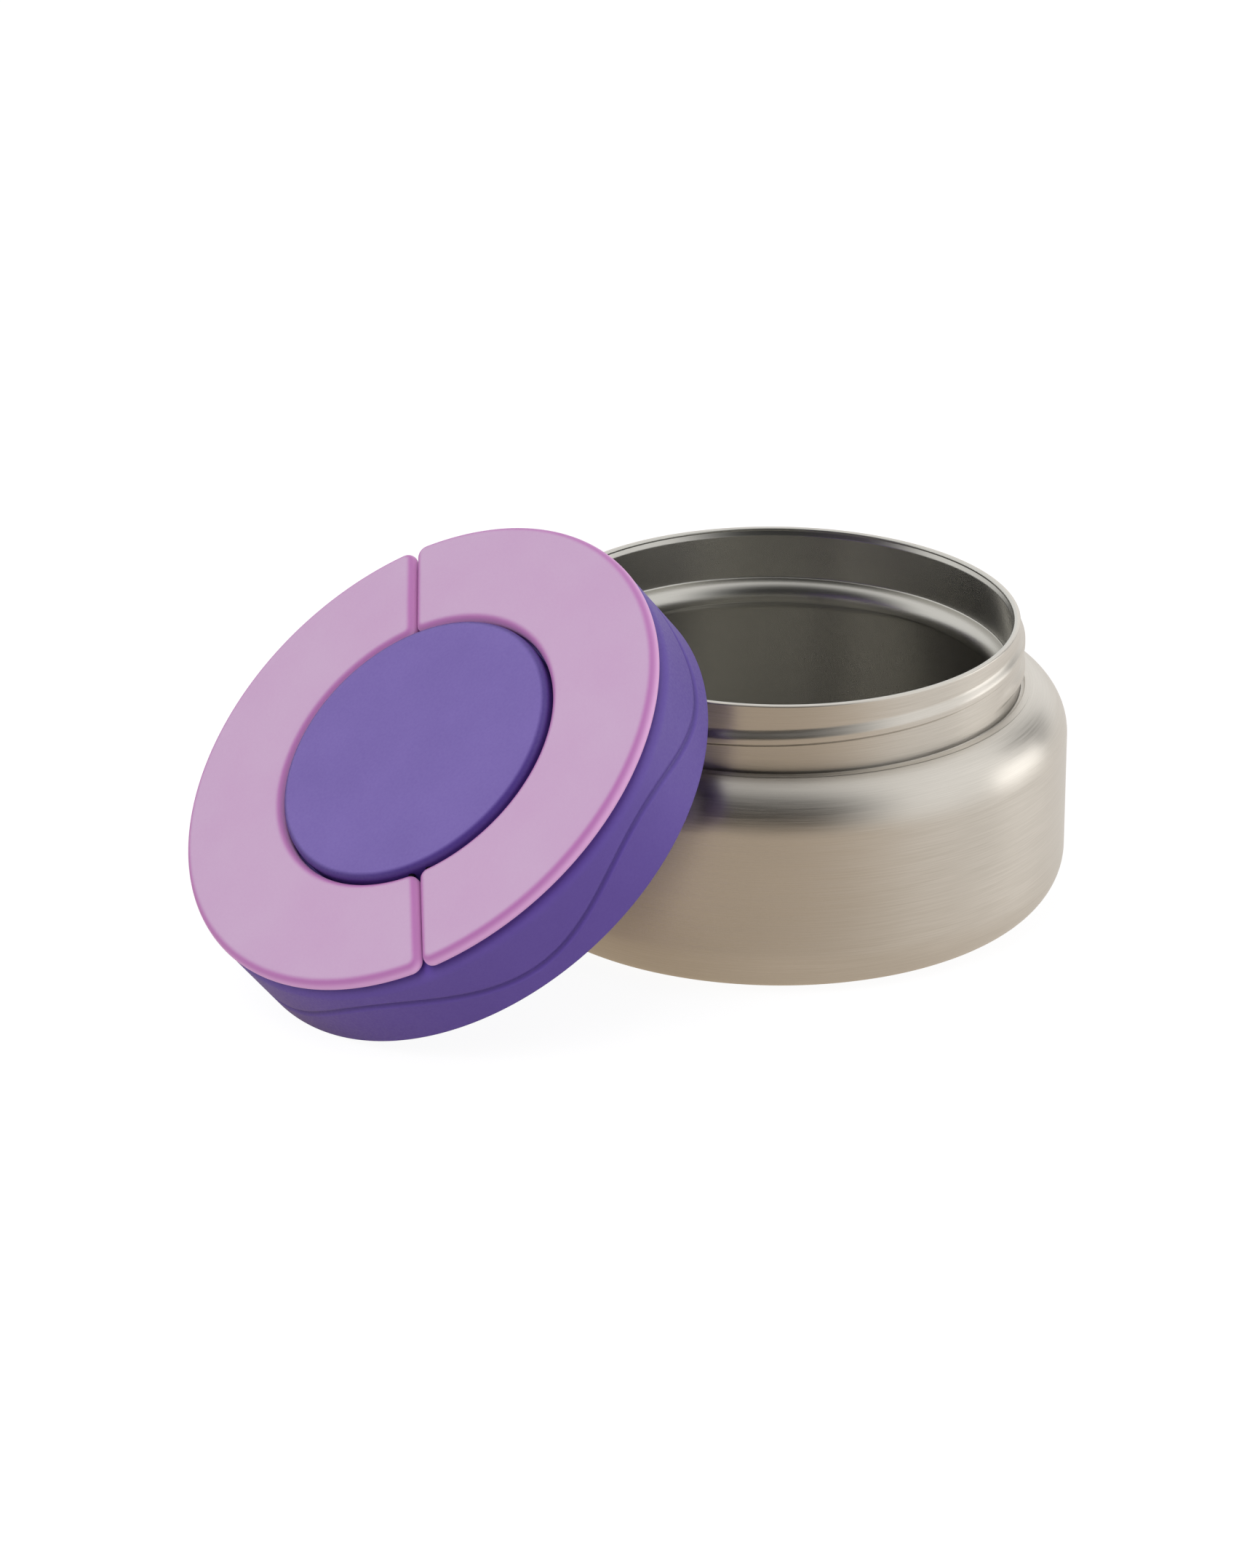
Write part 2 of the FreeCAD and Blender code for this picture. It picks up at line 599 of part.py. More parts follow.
def hinge_rod(label, side):
    """A steel rod through the hub that carries both ends of one handle."""
    start = Vector(-size("rod_reach"), side * size("hinge_offset"), size(HINGE_HEIGHT))
    along_split = Rotation(Vector(0, 1, 0), FULL_TURN / 4)
    return cylinder(label, "rod_radius", "2 * rod_reach", Placement(start, along_split))


hinge_rod_left = hinge_rod("hinge_rod_left", 1)
hinge_rod_right = hinge_rod("hinge_rod_right", -1)


def rounded(body, name, radius, wanted):
    """Round the edges of a body whose ends pass a test."""
    base = body.Tip
    names = [f"Edge{number}" for number, edge in enumerate(base.Shape.Edges, start=1)
             if all(wanted(vertex.Point) for vertex in edge.Vertexes)
             and wanted(edge.valueAt((edge.FirstParameter + edge.LastParameter) / 2))]
    fillet = body.newObject("PartDesign::Fillet", name)
    fillet.Base = (base, names)
    bind(fillet, Radius=radius)
    doc.recompute()


def flip_handle(label):
    """One half ring, crowned towards the hub, with soft edges, bored at both ends for its hinge rod."""
    half_gap = "split_gap / 2"
    outer_end = f"sqrt(handle_radius^2 - ({half_gap})^2)"
    inner_end = f"sqrt(handle_hole_radius^2 - ({half_gap})^2)"
    body = doc.addObject("PartDesign::Body", label)
    outline = sketch_on(body, "XY_Plane", f"{label}_outline", HANDLE_FOOT)
    draw_outline(outline, [
        (outer_end, half_gap, "handle_radius", 1),
        (f"-{outer_end}", half_gap),
        (f"-{inner_end}", half_gap, "handle_hole_radius", -1),
        (inner_end, half_gap),
    ])
    plate = body.newObject("PartDesign::Pad", f"{label}_plate")
    plate.Profile = outline
    bind(plate, Length="handle_thickness + handle_crown + cut_overrun")
    section = sketch_on(body, "XZ_Plane", f"{label}_crown_section")
    inner_run = "handle_hole_radius - cut_overrun"
    outer_run = "handle_radius + cut_overrun"
    above = f"{HANDLE_TOP} + 2 * cut_overrun"
    draw_outline(section, [
        (inner_run, HANDLE_TOP), (outer_run, HANDLE_EDGE), (outer_run, above), (inner_run, above)])
    crown = body.newObject("PartDesign::Groove", f"{label}_crown")
    crown.Profile = section
    crown.ReferenceAxis = (section, ["V_Axis"])
    crown.Angle = FULL_TURN
    doc.recompute()
    foot = size(HANDLE_FOOT)
    edge_height = size(HANDLE_EDGE)
    near = size("same_place")
    middle = (size("handle_radius") + size("handle_hole_radius")) / 2

    def at_end(point):
        return abs(point.y - size(half_gap)) < near

    rounded(body, f"{label}_outer_corners", "handle_outer_corner",
            lambda point: at_end(point) and abs(point.x) > middle)
    rounded(body, f"{label}_inner_corners", "handle_inner_corner",
            lambda point: at_end(point) and abs(point.x) < middle)
    rounded(body, f"{label}_top_edge", "handle_top_round", lambda point: point.z > edge_height - near)
    rounded(body, f"{label}_bottom_edge", "handle_bottom_round", lambda point: abs(point.z - foot) < near)
    bored(body, f"{label}_rod_bores", "YZ_Plane",
          [("hinge_offset", HINGE_HEIGHT, "rod_radius + rod_clearance")],
          "0", "2 * (rod_reach + rod_end_gap)", both_ways=True)
    return body


handle_left = flip_handle("handle_left")
handle_right = flip_handle("handle_right")

jar_pieces = [jar_outer_shell, jar_base_cup, vacuum_seal_plug, base_disc, jar_inner_liner,
              heat_shield_foil, getter_cup, getter_pellet]
lid_pieces = [lid_shell, lid_inner_cap, lid_gasket, insulation_pad, plug_cover_plate, hub_disc,
              hub_screws, hinge_rod_left, hinge_rod_right, handle_left, handle_right]

doc.recompute()
half_turn = Placement(Vector(0, 0, 0), Rotation(Vector(0, 0, 1), FULL_TURN / 2))
for piece in lid_pieces:
    own_place = half_turn if piece is handle_right else piece.Placement
    piece.Placement = lid_place * own_place
doc.recompute()

for item in doc.Objects:
    if "Invalid" in item.State or "Error" in item.State:
        raise ValueError(f"{item.Label} failed: {item.State}")
for piece in jar_pieces + lid_pieces:
    if piece.Shape.isNull() or not piece.Shape.isValid():
        raise ValueError(f"{piece.Label} has no valid shape")

os.makedirs("parts", exist_ok=True)
for piece in jar_pieces + lid_pieces:
    piece.Shape.exportStep(f"parts/{piece.Label}.step")
    print(f"{piece.Label}: {len(piece.Shape.Solids)} solid(s), {piece.Shape.Volume:.1f} mm3")
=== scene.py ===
import math

import bmesh
import bpy
from mathutils import Matrix, Vector


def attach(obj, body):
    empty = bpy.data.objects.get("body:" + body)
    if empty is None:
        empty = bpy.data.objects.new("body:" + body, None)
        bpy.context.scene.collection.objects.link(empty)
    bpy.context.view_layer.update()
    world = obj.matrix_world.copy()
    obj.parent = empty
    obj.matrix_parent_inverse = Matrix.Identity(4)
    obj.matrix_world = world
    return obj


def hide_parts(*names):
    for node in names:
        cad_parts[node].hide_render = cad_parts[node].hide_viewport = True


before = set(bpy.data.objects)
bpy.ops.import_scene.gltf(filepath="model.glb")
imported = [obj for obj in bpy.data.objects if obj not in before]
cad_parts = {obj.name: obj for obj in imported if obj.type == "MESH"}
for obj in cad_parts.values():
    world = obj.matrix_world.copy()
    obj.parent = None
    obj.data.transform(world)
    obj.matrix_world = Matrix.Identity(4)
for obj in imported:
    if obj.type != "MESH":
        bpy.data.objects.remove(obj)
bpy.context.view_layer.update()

# Base cup: the jar's bottom, pressed from stainless sheet with one generous corner all round.
# It is welded to the wall above, and the weld is ground and brushed over, so no seam shows.
# Sizes are in millimetres here and below, except in the studio, where they are in metres.
MM = 0.001
BODY_RADIUS = 55.0
SHEET = 0.6
SEAM = 14.0
BASE_CORNER = 10.0
RECESS, RECESS_RADIUS, RECESS_SLOPE = 0.7, 40.2, 0.4
RECESS_INNER_ROUND, RECESS_OUTER_ROUND = 0.15, 0.3
ARC_STEP, LEAST_ARC_STEPS = math.radians(5), 3
SHARP_ANGLE = math.radians(38)
ROUND_SEGMENTS = 256


def rounded_path(corners):
    """A closed outline as (radius, height) points, from corners (radius, height, round)."""
    path = []
    for index, (x, y, *rounding) in enumerate(corners):
        here = Vector((x, y))
        if not rounding:
            path.append(here)
            continue
        back = (Vector(corners[index - 1][:2]) - here).normalized()
        onward = (Vector(corners[(index + 1) % len(corners)][:2]) - here).normalized()
        half = back.angle(onward) / 2
        centre = here + (back + onward).normalized() * rounding[0] / math.sin(half)
        start = here + back * rounding[0] / math.tan(half) - centre
        sweep = start.angle_signed(here + onward * rounding[0] / math.tan(half) - centre)
        steps = max(LEAST_ARC_STEPS, math.ceil(abs(sweep) / ARC_STEP))
        path += [centre + Matrix.Rotation(-sweep * step / steps, 2) @ start for step in range(steps + 1)]
    return path


def divided(path, low, high, spacing):
    """The outline with its runs between two heights cut into short steps, for shapes worked on the wall."""
    finer = []
    for here, onward in zip(path, path[1:] + path[:1]):
        finer.append(here)
        if low <= min(here.y, onward.y) and max(here.y, onward.y) <= high:
            steps = math.ceil((onward - here).length / spacing)
            finer += [here.lerp(onward, step / steps) for step in range(1, steps)]
    return finer


def turned(name, path, segments, relief=None):
    """A solid turned about its own Z axis; relief says how far it stands out at (radius, height, angle)."""
    shaper = bmesh.new()
    rings = []
    for radius, height in path:
        ring = []
        for step in range(segments if radius > 0 else 1):
            angle = 2 * math.pi * step / segments
            reach = radius + (relief(radius, height, angle) if relief else 0)
            point = (reach * math.cos(angle) * MM, reach * math.sin(angle) * MM, height * MM)
            ring.append(shaper.verts.new(point))
        rings.append(ring)
    for lower, upper in zip(rings, rings[1:] + rings[:1]):
        if len(lower) == len(upper) == 1:
            continue
        for step in range(segments):
            after = step + 1
            loop = [lower[step % len(lower)], lower[after % len(lower)],
                    upper[after % len(upper)], upper[step % len(upper)]]
            shaper.faces.new(list(dict.fromkeys(loop)))
    return finished_mesh(name, shaper)


def finished_mesh(name, shaper):
    """The shaped solid as an object with smooth faces and crisp true edges."""
    bmesh.ops.recalc_face_normals(shaper, faces=shaper.faces)
    for face in shaper.faces:
        face.smooth = True
    mesh = bpy.data.meshes.new(name)
    shaper.to_mesh(mesh)
    shaper.free()
    mesh.set_sharp_from_angle(angle=SHARP_ANGLE)
    piece = bpy.data.objects.new(name, mesh)
    bpy.context.scene.collection.objects.link(piece)
    return piece


def placed(piece, body, slot, material, *nodes):
    """Fix a finished piece to its body in place of the plain solids."""
    piece.data.materials.append(material)
    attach(piece, body)
    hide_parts(*nodes)


def linear(code):
    """An sRGB hex colour as linear RGBA."""
    shares = [int(code[place:place + 2], 16) / 255 for place in (1, 3, 5)]
    return tuple(s / 12.92 if s <= 0.04045 else ((s + 0.055) / 1.055) ** 2.4 for s in shares) + (1.0,)


def feed(tree, node, inputs):
    """Give a shader node's inputs their values, or links from other nodes."""
    for name, value in inputs.items():
        if isinstance(value, bpy.types.NodeSocket):
            tree.links.new(value, node.inputs[name])
        else:
            node.inputs[name].default_value = value


def add_node(tree, kind, inputs=None, **settings):
    """A new shader node with its settings and inputs."""
    node = tree.nodes.new(kind)
    for name, value in settings.items():
        setattr(node, name, value)
    feed(tree, node, inputs or {})
    return node


def computed(tree, operation, *values, **settings):
    """The result of arithmetic on values."""
    inputs = dict(enumerate(values))
    return add_node(tree, "ShaderNodeMath", inputs, operation=operation, **settings).outputs[0]


def ramp(tree, value, low, high, start=0.0, end=1.0, **settings):
    """A value carried over from the range low to high to the range start to end."""
    inputs = {0: value, 1: low, 2: high, 3: start, 4: end}
    return add_node(tree, "ShaderNodeMapRange", inputs, **settings).outputs[0]


def blend(tree, share, first, second):
    """A colour that goes from the first to the second as the share grows."""
    return add_node(tree, "ShaderNodeMix", {0: share, 6: first, 7: second}, data_type="RGBA").outputs[2]


def speckle(tree, place, size, detail):
    """Noise with cells of a real size."""
    inputs = {"Vector": place, "Scale": 1 / (size * MM), "Detail": detail}
    return add_node(tree, "ShaderNodeTexNoise", inputs).outputs[0]


def blank_finish(name):
    """A new material, its node tree, its shader and a point's place in the piece's own frame."""
    material = bpy.data.materials.new(name)
    material.use_nodes = True
    tree = material.node_tree
    place = add_node(tree, "ShaderNodeTexCoord").outputs["Object"]
    return material, tree, tree.nodes["Principled BSDF"], place


def brushed_steel(name, dark, light, across, roughness, smear, marks):
    """Stainless 304 brushed round its axis: short hairlines that smear each reflection up and down.

    The hairlines of a 180 grit belt are near 0.1 mm wide; they are drawn 0.25 mm wide so that they show.
    Across, 1 or -1, is how the rows of hairlines step with the radius on a face that isn't upright.
    Smear says how far reflections are drawn out, and marks how much the hairlines show: 1 on a belted wall.
    """
    hairline, hairline_length = 0.25, 14.0
    cloud_size, cloud_share = 30.0, 0.35
    scratch_depth = 0.05
    material, tree, shader, place = blank_finish(name)
    split = add_node(tree, "ShaderNodeSeparateXYZ", {0: place}).outputs
    flat = add_node(tree, "ShaderNodeCombineXYZ", {0: split[0], 1: split[1]}).outputs[0]
    radius = add_node(tree, "ShaderNodeVectorMath", {0: flat}, operation="LENGTH").outputs["Value"]
    around = add_node(tree, "ShaderNodeVectorMath", {0: flat}, operation="NORMALIZE").outputs[0]
    run = computed(tree, "MULTIPLY_ADD", radius, across, split[2])
    rows = computed(tree, "MULTIPLY", run, 1 / (hairline * MM))
    lift = add_node(tree, "ShaderNodeCombineXYZ", {2: rows}).outputs[0]
    spread = (BODY_RADIUS / hairline_length,) * 3
    stretched = add_node(tree, "ShaderNodeVectorMath", {0: around, 1: spread, 2: lift},
                         operation="MULTIPLY_ADD").outputs[0]
    hair = add_node(tree, "ShaderNodeTexNoise", {"Vector": stretched, "Scale": 1.0, "Detail": 3.0,
                                                 "Roughness": 0.65}).outputs[0]
    cloud = speckle(tree, place, cloud_size, 2.0)
    tone = ramp(tree, computed(tree, "MULTIPLY_ADD", cloud, cloud_share, hair), 0.35, 1.0)
    bump = add_node(tree, "ShaderNodeBump", {"Strength": 0.05 * marks, "Distance": scratch_depth * MM,
                                             "Height": hair}).outputs[0]
    feed(tree, shader, {
        "Base Color": blend(tree, tone, linear(dark), linear(light)),
        "Roughness": ramp(tree, hair, 0.25, 0.75, roughness - 0.06 * marks, roughness + 0.07 * marks),
        "Normal": bump,
        "Metallic": 1.0,
        "Anisotropic": smear,
        "Anisotropic Rotation": 0.25,
    })
    return material


base_cup = turned("jar_base_cup_steel", rounded_path([
    (0, RECESS), (RECESS_RADIUS, RECESS, RECESS_INNER_ROUND),
    (RECESS_RADIUS + RECESS_SLOPE, 0, RECESS_OUTER_ROUND), (BODY_RADIUS, 0, BASE_CORNER),
    (BODY_RADIUS, SEAM), (BODY_RADIUS - SHEET, SEAM), (BODY_RADIUS - SHEET, SHEET, BASE_CORNER - SHEET),
    (RECESS_RADIUS + 2 * RECESS_SLOPE, SHEET, RECESS_OUTER_ROUND),
    (RECESS_RADIUS + RECESS_SLOPE, RECESS + SHEET, RECESS_INNER_ROUND), (0, RECESS + SHEET),
]), ROUND_SEGMENTS)
base_steel = brushed_steel("brushed_stainless_base", "#c0bbb2", "#d8d3cb",
                           across=1, roughness=0.35, smear=0.8, marks=1.0)
placed(base_cup, "jar", "steel_outer", base_steel, "jar_base_cup")

# Outer shell: the jar's wall, spun in over the shoulder to a neck with a rolled two-start thread.
# Same stainless sheet as the base, brushed on a belt while it turns, so the hairlines run round it.
JAR_HEIGHT = 55.2
NECK_RADIUS, NECK_FOOT = 45.7, 42.63
LIP_ROUND = 0.3
THREAD_LEAD, THREAD_START, THREAD_TURNS = 9.8, 45.2, 0.7
THREAD_ANGLE = math.radians(-68.7)
RIDGE_HEIGHT, RIDGE_HALF_CREST, RIDGE_FLANK, RIDGE_RETURN = 0.9, 0.4, 1.8, 0.8
RUN_OUT_TURNS = 0.07
THREAD_STEP, THREAD_SEGMENTS = 0.12, 360


def eased(share):
    """A share from 0 to 1 with soft ends."""
    share = min(max(share, 0), 1)
    return share * share * (3 - 2 * share)


def rolled_thread(radius, height, angle):
    """How far the rolled ridges stand out of the neck's outside; each rises out of the wall and sinks back."""
    if radius < NECK_RADIUS - SHEET / 2 or not NECK_FOOT < height < JAR_HEIGHT - LIP_ROUND:
        return 0
    reach = 0
    for start in (THREAD_ANGLE, THREAD_ANGLE + math.pi):
        turns = ((angle - start) / (2 * math.pi)) % 1
        above = height - THREAD_START - THREAD_LEAD * turns
        slope = RIDGE_FLANK if above > 0 else RIDGE_RETURN
        section = eased(1 - (abs(above) - RIDGE_HALF_CREST) / slope)
        ends = eased(turns / RUN_OUT_TURNS) * eased((THREAD_TURNS - turns) / RUN_OUT_TURNS)
        reach = max(reach, RIDGE_HEIGHT * section * ends)
    return reach


# The outline goes up the outside, over the shoulder and the groove at the neck's foot, and down the inside.
shell_path = rounded_path([
    (BODY_RADIUS, SEAM), (BODY_RADIUS, 40.74, 10.05), (47.8, 42.12, 0.6), (46.6, 41.7, 0.4),
    (45.9, 41.75, 0.3), (45.9, NECK_FOOT), (NECK_RADIUS, JAR_HEIGHT, LIP_ROUND),
    (NECK_RADIUS - SHEET, JAR_HEIGHT), (45.3, 41.4, 0.2), (46.6, 41.05, 0.3),
    (BODY_RADIUS - SHEET, 40.1, 9.45), (BODY_RADIUS - SHEET, SEAM),
])
outer_shell = turned("jar_outer_shell_steel", divided(shell_path, NECK_FOOT, JAR_HEIGHT, THREAD_STEP),
                     THREAD_SEGMENTS, rolled_thread)
wall_steel = brushed_steel("brushed_stainless_wall", "#c0bbb2", "#d8d3cb",
                           across=-1, roughness=0.35, smear=0.8, marks=1.0)
placed(outer_shell, "jar", "steel_outer", wall_steel, "jar_outer_shell")

# Inner liner: the food bowl, deep drawn from stainless and welded to the shell at the lip.
# Below the neck a rolled ledge stands in for the gasket to seal on; the bowl widens again under it.
# The outline goes down the inside from the lip and comes back up outside, one sheet away.
liner = turned("jar_inner_liner_steel", rounded_path([
    (44.5, JAR_HEIGHT, 0.28), (44.5, 54.7, 0.2), (44.1, 53.9, 0.8), (44.1, 45.15, 0.3), (41.1, 44.64, 3.3),
    (41.1, 40.96, 0.75), (45.8, 40.04, 0.6), (50.0, 39.95, 3.9), (50.0, 5.4, 8.5), (0, 5.4),
    (0, 4.8), (50.6, 4.8, 9.1), (50.6, 40.55, 4.5), (45.8, 40.64, 0.6), (41.7, 41.44, 0.15),
    (41.7, 44.6, 2.8), (44.7, 44.6, 0.15), (44.7, 53.9, 0.5), (45.1, 54.7, 0.3), (45.1, JAR_HEIGHT),
]), ROUND_SEGMENTS)
bowl_steel = brushed_steel("satin_stainless_bowl", "#bdbbb4", "#c3c1bb",
                           across=1, roughness=0.27, smear=0.75, marks=0.03)
placed(liner, "jar", "steel_inner", bowl_steel, "jar_inner_liner")

# Base disc, seal bead, foil and getter: what closes and serves the vacuum between the two walls.
# Only the disc can be seen, from below: thin stainless, glued flush into the recess.


def finish_node(node, material):
    """Give a solid that is shown as it is its real finish."""
    node_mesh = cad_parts[node].data
    node_mesh.materials.clear()
    node_mesh.materials.append(material)


def plain_finish(name, colour, shade, grain, roughness, metallic, relief):
    """A fine even grain of a real size and height, over which colour and gloss wander a little."""
    material, tree, shader, place = blank_finish(name)
    cells = speckle(tree, place, grain, 2.0)
    bump = add_node(tree, "ShaderNodeBump", {"Strength": 0.3, "Distance": relief * MM,
                                             "Height": cells}).outputs[0]
    feed(tree, shader, {
        "Base Color": blend(tree, ramp(tree, cells, 0.3, 0.7), linear(shade), linear(colour)),
        "Roughness": ramp(tree, cells, 0.3, 0.7, roughness + 0.05, roughness - 0.05),
        "Normal": bump,
        "Metallic": metallic,
    })
    return material


finish_node("base_disc", base_steel)
finish_node("vacuum_seal_plug", plain_finish("solder_glass", "#5a4c40", "#463a31", grain=0.8,
                                             roughness=0.25, metallic=0.0, relief=0.02))
finish_node("heat_shield_foil", plain_finish("aluminium_foil", "#d8d8da", "#bfbfc2", grain=3.0,
                                             roughness=0.2, metallic=1.0, relief=0.08))
hardware_steel = plain_finish("plain_stainless_hardware", "#b4b4b2", "#94948f", grain=0.9,
                              roughness=0.32, metallic=1.0, relief=0.02)
finish_node("getter_cup", hardware_steel)
finish_node("getter_pellet", plain_finish("sintered_getter", "#5c5c60", "#3f3f43", grain=0.4,
                                          roughness=0.7, metallic=0.6, relief=0.06))

# Lid shell: one purple moulding of polypropylene, a flat deck with a skirt to grip.
# A shallow crease waves round the skirt; it is moulded in, and painted shade makes its hollow a little deeper
# in colour.
LID_CENTRE = Vector((-69.44076, 2.0, 32.16393))
LID_TILT = math.radians(40.15)
SPLIT_ANGLE = math.radians(47)
SKIRT_RADIUS, SKIRT_WALL, SKIRT_FOOT_ROUND = 50.2, 1.6, 0.5
DECK_HEIGHT, DECK_WALL, DECK_ROUND = 16.6, 1.8, 2.5
WAVE_HEIGHT, WAVE_RISE, WAVE_COUNT, WAVE_ANGLE = 8.0, 3.35, 5, math.radians(18.5)
CREASE_DEPTH, CREASE_HALF_WIDTH, CREASE_PAINTED_SHADE = 0.5, 0.95, 0.22
CREASE_STEP, CREASE_SEGMENTS = 0.15, 480
SLACK = 0.1
lid_place = (Matrix.Translation(LID_CENTRE * MM) @ Matrix.Rotation(-LID_TILT, 4, "Y")
             @ Matrix.Rotation(SPLIT_ANGLE, 4, "Z"))


def skirt_crease(radius, height, angle):
    """The wavy crease, as a dip in the skirt."""
    if radius < SKIRT_RADIUS - 0.01:
        return 0
    crest = WAVE_HEIGHT + WAVE_RISE * math.cos(WAVE_COUNT * (angle - WAVE_ANGLE))
    return -CREASE_DEPTH * eased(1 - abs(height - crest) / CREASE_HALF_WIDTH)


def crease_painted_shade(radius, height, angle):
    """How much painted shade deepens the colour in the crease."""
    return -CREASE_PAINTED_SHADE * skirt_crease(radius + CREASE_DEPTH, height, angle) / CREASE_DEPTH


def shaded(piece, shade_at):
    """Write a turned piece's attribute of painted shade, from the shade at (radius, height, angle)."""
    shades = piece.data.attributes.new("painted_shade_and_glow", "FLOAT", "POINT")
    for point, shade in zip(piece.data.vertices, shades.data):
        x, y, z = point.co / MM
        shade.value = shade_at(math.hypot(x, y), z, math.atan2(y, x))


def moulded_plastic(name, face, painted_shade_colour, rim, roughness):
    """Polypropylene from a spark-eroded tool: a matt skin of pits near 0.2 mm, drawn at 0.5 mm to show.

    Colour wanders a little with the flow of the melt. A mesh attribute paints shade up to 0.5, a deeper colour
    in a crease or at the turn of an edge, and from there to 1 paints light, a brighter colour as of light
    coming through a thin rim.
    """
    grain, flow, pit_depth = 0.5, 14.0, 0.03
    material, tree, shader, place = blank_finish(name)
    pits = speckle(tree, place, grain, 1.5)
    melt = speckle(tree, place, flow, 2.0)
    wander = computed(tree, "MULTIPLY_ADD", pits, 0.4, melt)
    tone = ramp(tree, wander, 0.45, 0.95, 0.16, 0.0)
    painted_shade_and_glow = add_node(tree, "ShaderNodeAttribute", attribute_name="painted_shade_and_glow").outputs["Fac"]
    # Painted shade from the attribute deepens the colour; painted light at thin rims brightens it.
    tone_and_painted_shade = computed(tree, "MULTIPLY_ADD", painted_shade_and_glow, 2.0, tone, use_clamp=True)
    painted_glow_share = ramp(tree, painted_shade_and_glow, 0.5, 1.0)
    skin = add_node(tree, "ShaderNodeBump", {"Strength": 0.25, "Distance": pit_depth * MM,
                                             "Height": pits}).outputs[0]
    feed(tree, shader, {
        "Base Color": blend(tree, painted_glow_share, blend(tree, tone_and_painted_shade, linear(face), linear(painted_shade_colour)), linear(rim)),
        "Roughness": ramp(tree, pits, 0.3, 0.7, roughness + 0.06, roughness - 0.06),
        "Normal": skin,
        "IOR": 1.49,
    })
    return material


skirt_path = rounded_path([
    (SKIRT_RADIUS - SKIRT_WALL, 0, 0.2), (SKIRT_RADIUS, 0, SKIRT_FOOT_ROUND),
    (SKIRT_RADIUS, DECK_HEIGHT, DECK_ROUND), (0, DECK_HEIGHT), (0, DECK_HEIGHT - DECK_WALL),
    (SKIRT_RADIUS - SKIRT_WALL, DECK_HEIGHT - DECK_WALL, 0.6),
])
upright_skirt = divided(skirt_path, SKIRT_FOOT_ROUND - SLACK, DECK_HEIGHT - DECK_ROUND + SLACK, CREASE_STEP)
lid_shell = turned("lid_shell_moulding", upright_skirt, CREASE_SEGMENTS, skirt_crease)
# Painted shade goes into the colour along the crease.
shaded(lid_shell, crease_painted_shade)
lid_shell.data.transform(lid_place)
# The shell's purple is the hub's violet made darker and more saturated, as painted shade for the skirt, which
# mostly faces away from the light.
purple_with_painted_shade = moulded_plastic("purple_polypropylene", "#6850a9", "#41297e", "#6850a9", roughness=0.5)
placed(lid_shell, "lid", "purple_plastic", purple_with_painted_shade, "lid_shell")

# Inner cap with its plug, gasket and filling: the same purple polypropylene, with the lid's thread.
# The silicone ring sits in the plug's groove; foam and a welded plate make the plug insulate.
finish_node("lid_inner_cap", purple_with_painted_shade)
finish_node("plug_cover_plate", purple_with_painted_shade)
finish_node("lid_gasket", plain_finish("silicone_rubber", "#d6d6d2", "#c9c9c5", grain=1.2,
                                       roughness=0.6, metallic=0.0, relief=0.03))
finish_node("insulation_pad", plain_finish("open_cell_foam", "#e8e2cf", "#cfc8b2", grain=0.9,
                                           roughness=0.9, metallic=0.0, relief=0.3))

# Hub disc: the fixed violet centre of the lid, moulded like the shell and screwed on from below.
# It stands a little proud of the handles and hides the rods that they turn on.
HUB_RADIUS, HUB_TOP, HUB_ROUND, HUB_FACE_INSET = 28.3, 21.0, 1.3, 3.0
# The hub's rounded edge and side get painted shade: a deeper violet from the edge of the top face down.
HUB_SIDE_PAINTED_SHADE, HUB_PAINTED_SHADE_TURN = 0.4, math.radians(40)


def hub_painted_shade(radius, height, angle):
    """How much painted shade deepens the colour where the hub turns over to its side."""
    turn = math.atan2(radius - HUB_RADIUS + HUB_ROUND, max(height - HUB_TOP + HUB_ROUND, 0))
    return HUB_SIDE_PAINTED_SHADE * eased(turn / HUB_PAINTED_SHADE_TURN)


hub = turned("hub_disc_moulding", rounded_path([
    (0, DECK_HEIGHT), (HUB_RADIUS, DECK_HEIGHT), (HUB_RADIUS, HUB_TOP, HUB_ROUND),
    (HUB_RADIUS - HUB_FACE_INSET, HUB_TOP), (0, HUB_TOP),
]), ROUND_SEGMENTS)
# Painted shade goes into the colour round the hub's edge and side.
shaded(hub, hub_painted_shade)
hub.data.transform(lid_place)
violet = moulded_plastic("violet_polypropylene", "#7762ae", "#42297c", "#7762ae", roughness=0.52)
placed(hub, "lid", "violet_plastic", violet, "hub_disc")
finish_node("hub_screws", hardware_steel)
rod_steel = plain_finish("blackened_stainless_rod", "#3a383d", "#2c2a2f", grain=0.9,
                         roughness=0.45, metallic=1.0, relief=0.02)
finish_node("hinge_rod_left", rod_steel)
finish_node("hinge_rod_right", rod_steel)

# Flip handles: two lilac half rings with soft edges, each on its own rod along the split.
# They lie flat around the hub, and a finger under the outer edge flips one up to turn or carry the lid.
HANDLE_RADIUS, HANDLE_HOLE = 50.3, 28.8
HANDLE_FOOT, HANDLE_EDGE, CROWN = 17.4, 19.8, 0.6
HANDLE_TOP_ROUND, HANDLE_FOOT_ROUND, FACE_INSET = 1.6, 0.7, 0.5
OUTER_CORNER, INNER_CORNER, LEAST_CORNER = 2.2, 2.0, 0.12
HALF_SPLIT = 0.25
SWEEP_STEPS, CORNER_STEPS = 120, 8
FOOT_STEPS, TOP_STEPS, DARKEST_PAINTED_STEP = 6, 12, 7


